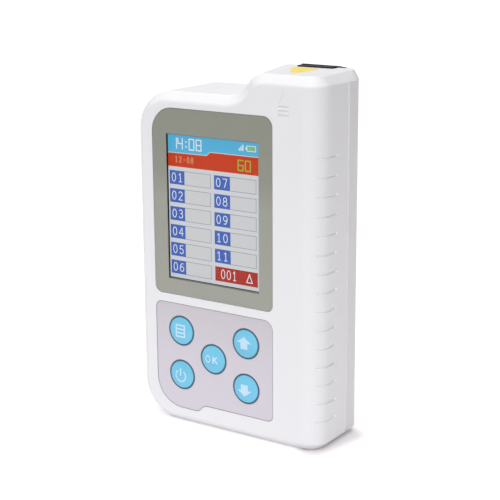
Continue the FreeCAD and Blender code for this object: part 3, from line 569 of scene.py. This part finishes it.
icon("icon_ok", "ok_key", moved(arc(1.1, 0, 360, 0.5, 20), -2.1, -0.1, 0.82, 1.05) + moved(k_letter, 0.0, -0.15),
     ink("icon_ink_ok", srgb(200, 228, 246)))

# thin dark ring along the overlay's outer edge: painted shade for the gap round the overlay's recess
def overlay_rim(width):
    """A ring that follows the outline of the overlay's front face, width metres wide."""
    me = NODES["keypad_overlay"].data
    front = min(v.co.y for v in me.vertices)
    half = set()
    for p in me.polygons:
        pts = [me.vertices[i].co for i in p.vertices]
        if max(q.y for q in pts) - front < 1e-6:
            keys = [(round(q.x, 6), round(q.z, 6)) for q in pts]
            half |= set(zip(keys, keys[1:] + keys[:1]))
    step = {a: b for a, b in half if (b, a) not in half}
    loops = []
    while step:
        loop = [min(step)]
        while loop[-1] in step:
            loop.append(step.pop(loop[-1]))
        loops.append(loop[:-1])
    loop = max(loops, key=lambda l: max(x for x, z in l) - min(x for x, z in l))
    area = sum(a[0] * b[1] - b[0] * a[1] for a, b in zip(loop, loop[1:] + loop[:1]))
    side = 1.0 if area > 0 else -1.0
    inner = []
    for k, p in enumerate(loop):
        a, b = Vector(loop[k - 1]), Vector(loop[(k + 1) % len(loop)])
        t = (b - a).normalized()
        inner.append((p[0] - side * t[1] * width, p[1] + side * t[0] * width))
    bm = bmesh.new()
    rows = [[bm.verts.new((x, y, z)) for x, z in pts] for y in (front - 0.00002, front + 0.00001) for pts in (loop, inner)]
    n = len(loop)
    for i in range(n):
        j = (i + 1) % n
        for a, b in ((rows[0], rows[1]), (rows[1], rows[3]), (rows[3], rows[2]), (rows[2], rows[0])):
            bm.faces.new((a[i], a[j], b[j], b[i]))
    return bm


# painted shade: a dark ring where the overlay's edge meets its recess
piece("overlay_rim", overlay_rim(0.0002), ink("rim_painted_shade", srgb(150, 146, 156)), "case")

# plain yellow index mark in front of the tray slot
TOP_Z = 125.6


def mark_on_top(name, pts, z, mat):
    bm = bmesh.new()
    a = [bm.verts.new((x * MM, y * MM, (TOP_Z + z) * MM)) for x, y in pts]
    b = [bm.verts.new((x * MM, y * MM, (TOP_Z - 0.01) * MM)) for x, y in pts]
    bm.faces.new(a)
    bm.faces.new(list(reversed(b)))
    for i in range(len(pts)):
        j = (i + 1) % len(pts)
        bm.faces.new((a[i], b[i], b[j], a[j]))
    return piece(name, bm, mat, "case")


def rounded(pts, r, n=5):
    """Outline with each corner cut back by r and rounded."""
    out = []
    for k, p in enumerate(pts):
        a, b = Vector(pts[k - 1]), Vector(pts[(k + 1) % len(pts)])
        p = Vector(p)
        u, v = p + (a - p).normalized() * r, p + (b - p).normalized() * r
        for i in range(n + 1):
            t = i / n
            out.append(tuple((1 - t) ** 2 * u + 2 * t * (1 - t) * p + t * t * v))
    return out


mark_on_top("index_mark", rounded([(20.2, -5.6), (22.4, -5.6), (24.0, 5.6), (23.0, 8.2), (13.6, 8.9), (12.9, 7.2)], 0.9), 0.014,
            plastic("mark_yellow", srgb(236, 212, 84), 0.5, vary=0.05, tone=300.0))

# ------------------------------------------------------------------ floor, light, camera
bm = bmesh.new()
bmesh.ops.create_grid(bm, x_segments=2, y_segments=2, size=12.0)
me = bpy.data.meshes.new("floor")
bm.to_mesh(me)
bm.free()
floor = bpy.data.objects.new("floor", me)
scene.collection.objects.link(floor)
floor.location.z = -0.00003
fm = Mat("floor_paper")
fm.link(fm.ramp(fm.noise(3.0), [(0.3, (0.628, 0.603, 0.620, 1)), (0.7, (0.644, 0.618, 0.636, 1))]), fm.bsdf.inputs["Base Color"])
fm.bsdf.inputs["Roughness"].default_value = 0.9
fm.bsdf.inputs["Specular IOR Level"].default_value = 0.1
fm.bsdf.inputs["Emission Color"].default_value = (1.0, 0.995, 1.0, 1)


def glow_with_painted_shadow(ax, ay, bx, by, near, far, lo):
    """Painted shadow on the floor: glow from lo up to GLOW with the distance in millimetres to the segment a-b."""
    ln = math.hypot(bx - ax, by - ay)
    d = ((bx - ax) / ln, (by - ay) / ln, 0.0)
    sub = fm.node("ShaderNodeVectorMath", operation="SUBTRACT")
    fm.link(fm.coord.outputs["Object"], sub.inputs[0])
    sub.inputs[1].default_value = ((ax + bx) / 2 * MM, (ay + by) / 2 * MM, 0.0)
    part = []
    for axis in (d, (d[1], -d[0], 0.0)):
        dot = fm.node("ShaderNodeVectorMath", operation="DOT_PRODUCT")
        fm.link(sub.outputs["Vector"], dot.inputs[0])
        dot.inputs[1].default_value = axis
        part.append(dot.outputs["Value"])
    ab = fm.node("ShaderNodeMath", operation="ABSOLUTE")
    fm.link(part[0], ab.inputs[0])
    over = fm.node("ShaderNodeMath", operation="SUBTRACT")
    fm.link(ab.outputs["Value"], over.inputs[0])
    over.inputs[1].default_value = ln / 2 * MM
    end = fm.node("ShaderNodeMath", operation="MAXIMUM")
    fm.link(over.outputs["Value"], end.inputs[0])
    end.inputs[1].default_value = 0.0
    both = fm.node("ShaderNodeCombineXYZ")
    fm.link(end.outputs["Value"], both.inputs["X"])
    fm.link(part[1], both.inputs["Y"])
    dist = fm.node("ShaderNodeVectorMath", operation="LENGTH")
    fm.link(both.outputs["Vector"], dist.inputs[0])
    r = fm.node("ShaderNodeMapRange", interpolation_type="SMOOTHSTEP")
    for k, v in (("From Min", near * MM), ("From Max", far * MM), ("To Min", lo), ("To Max", GLOW)):
        r.inputs[k].default_value = v
    fm.link(dist.outputs["Value"], r.inputs["Value"])
    return r.outputs["Result"]


# Painted shadow: the floor's glow is turned down right beside the base, more so on its right.
GLOW = 0.42
floor_painted_shadow = fm.node("ShaderNodeMath", operation="MINIMUM")
fm.link(glow_with_painted_shadow(33.0, -11.0, 36.0, 6.5, 2.6, 8.3, 0.14), floor_painted_shadow.inputs[0])
fm.link(glow_with_painted_shadow(-24.0, -11.6, 31.0, -11.6, 1.2, 4.0, 0.30), floor_painted_shadow.inputs[1])
fm.link(floor_painted_shadow.outputs["Value"], fm.bsdf.inputs["Emission Strength"])
me.materials.append(fm.m)

# Two cloths on the floor, outside the view: dark on the right, grey in front.
def cloth(name, x0, y0, x1, y1, grey):
    bm = bmesh.new()
    bm.faces.new([bm.verts.new((x, y, 0.0004)) for x, y in rect(x0, y0, x1, y1)])
    me = bpy.data.meshes.new(name)
    bm.to_mesh(me)
    bm.free()
    o = bpy.data.objects.new(name, me)
    scene.collection.objects.link(o)
    gm = Mat(name)
    gm.link(gm.ramp(gm.noise(40.0), [(0.3, (grey * 0.9, grey * 0.9, grey * 0.9, 1)), (0.7, (grey * 1.1, grey * 1.1, grey * 1.1, 1))]),
            gm.bsdf.inputs["Base Color"])
    gm.bsdf.inputs["Roughness"].default_value = 0.95
    me.materials.append(gm.m)
    o.visible_camera = False


cloth("cloth_right", 0.411, -1.5, 3.3, 2.2, 0.06)
cloth("cloth_front", -2.0, -3.0, 0.411, -0.453, 0.35)

# A white tent, brightest above.
world = bpy.data.worlds.new("studio")
scene.world = world
world.use_nodes = True
wt = world.node_tree
bg = wt.nodes["Background"]
tc = wt.nodes.new("ShaderNodeTexCoord")


def toward(direction, a0, a1, b0, b1):
    """Brightness that goes from b0 to b1 with the cosine to a direction."""
    dot = wt.nodes.new("ShaderNodeVectorMath")
    dot.operation = "DOT_PRODUCT"
    wt.links.new(tc.outputs["Generated"], dot.inputs[0])
    dot.inputs[1].default_value = Vector(direction).normalized()
    mr = wt.nodes.new("ShaderNodeMapRange")
    for k, v in (("From Min", a0), ("From Max", a1), ("To Min", b0), ("To Max", b1)):
        mr.inputs[k].default_value = v
    wt.links.new(dot.outputs["Value"], mr.inputs["Value"])
    return mr.outputs["Result"]


def level(operation, a, b):
    n = wt.nodes.new("ShaderNodeMath")
    n.operation = operation
    wt.links.new(a, n.inputs[0])
    if isinstance(b, float):
        n.inputs[1].default_value = b
    else:
        wt.links.new(b, n.inputs[1])
    return n.outputs["Value"]


above = toward((0.0, -0.10, 0.995), -0.4, 1.0, 0.0, 1.205)
behind = toward((0.666, 0.746, -0.044), 0.0, 1.0, 0.0, 2.76)
beside = toward((-0.95, -0.10, -0.30), 0.0, 1.0, 0.0, 1.10)
wall = toward((-0.55, 0.80, 0.25), 0.0, 1.0, 0.0, 1.0)
sky = level("ADD", level("SUBTRACT", level("SUBTRACT", above, behind), beside), wall)
wt.links.new(level("MAXIMUM", sky, 0.0), bg.inputs["Strength"])
bg.inputs["Color"].default_value = (1.0, 1.0, 1.0, 1)


def sun(name, direction, strength, angle, colour=(1, 1, 1)):
    l = bpy.data.lights.new(name, "SUN")
    l.energy = strength
    l.angle = math.radians(angle)
    l.color = colour
    o = bpy.data.objects.new(name, l)
    scene.collection.objects.link(o)
    o.rotation_euler = Vector(direction).to_track_quat("-Z", "Y").to_euler()
    return o


sun("key", (-0.326, 0.409, -1.0), 1.80, 60.0)

# White cyclorama that only the camera sees, so a low view shows a white room.
bm = bmesh.new()
bmesh.ops.create_icosphere(bm, subdivisions=5, radius=3.0)
me = bpy.data.meshes.new("cyclorama")
bm.to_mesh(me)
bm.free()
dome = bpy.data.objects.new("cyclorama", me)
scene.collection.objects.link(dome)
dm = Mat("cyclorama_white")
dm.bsdf.inputs["Base Color"].default_value = (0.0, 0.0, 0.0, 1)
dm.bsdf.inputs["Specular IOR Level"].default_value = 0.0
dm.link(dm.ramp(dm.noise(0.4), [(0.3, (1.05, 1.05, 1.05, 1)), (0.7, (1.1, 1.1, 1.1, 1))]), dm.bsdf.inputs["Emission Color"])
dm.bsdf.inputs["Emission Strength"].default_value = 1.0
me.materials.append(dm.m)
backdrops = [dome]
for name, (x0, y0, x1, y1) in (("paper_right", (0.405, -1.5, 3.3, 2.2)), ("paper_front", (-2.0, -3.0, 0.411, -0.448))):
    bm = bmesh.new()
    bm.faces.new([bm.verts.new((x, y, 0.0006)) for x, y in rect(x0, y0, x1, y1)])
    me = bpy.data.meshes.new(name)
    bm.to_mesh(me)
    bm.free()
    me.materials.append(dm.m)
    o = bpy.data.objects.new(name, me)
    scene.collection.objects.link(o)
    backdrops.append(o)
for o in backdrops:
    for ray in ("diffuse", "glossy", "transmission", "volume_scatter", "shadow"):
        setattr(o, "visible_" + ray, False)

cam_data = bpy.data.cameras.new("camera")
cam = bpy.data.objects.new("camera", cam_data)
scene.collection.objects.link(cam)
cam_data.lens = 93.25
cam_data.sensor_width = 36.0
cam_data.sensor_fit = "HORIZONTAL"
cam_data.clip_start = 0.01
cam_data.clip_end = 100.0
C = Vector((0.24294, -0.36098, 0.17305))
T = Vector((0.01049, -0.01500, 0.06719))
f = (T - C).normalized()
right = f.cross(Vector((0, 0, 1))).normalized()
up = right.cross(f)
r = math.radians(-0.371)
R = math.cos(r) * right + math.sin(r) * up
U = -math.sin(r) * right + math.cos(r) * up
cam.matrix_world = Matrix(((R.x, U.x, -f.x, C.x), (R.y, U.y, -f.y, C.y), (R.z, U.z, -f.z, C.z), (0, 0, 0, 1)))
scene.camera = cam
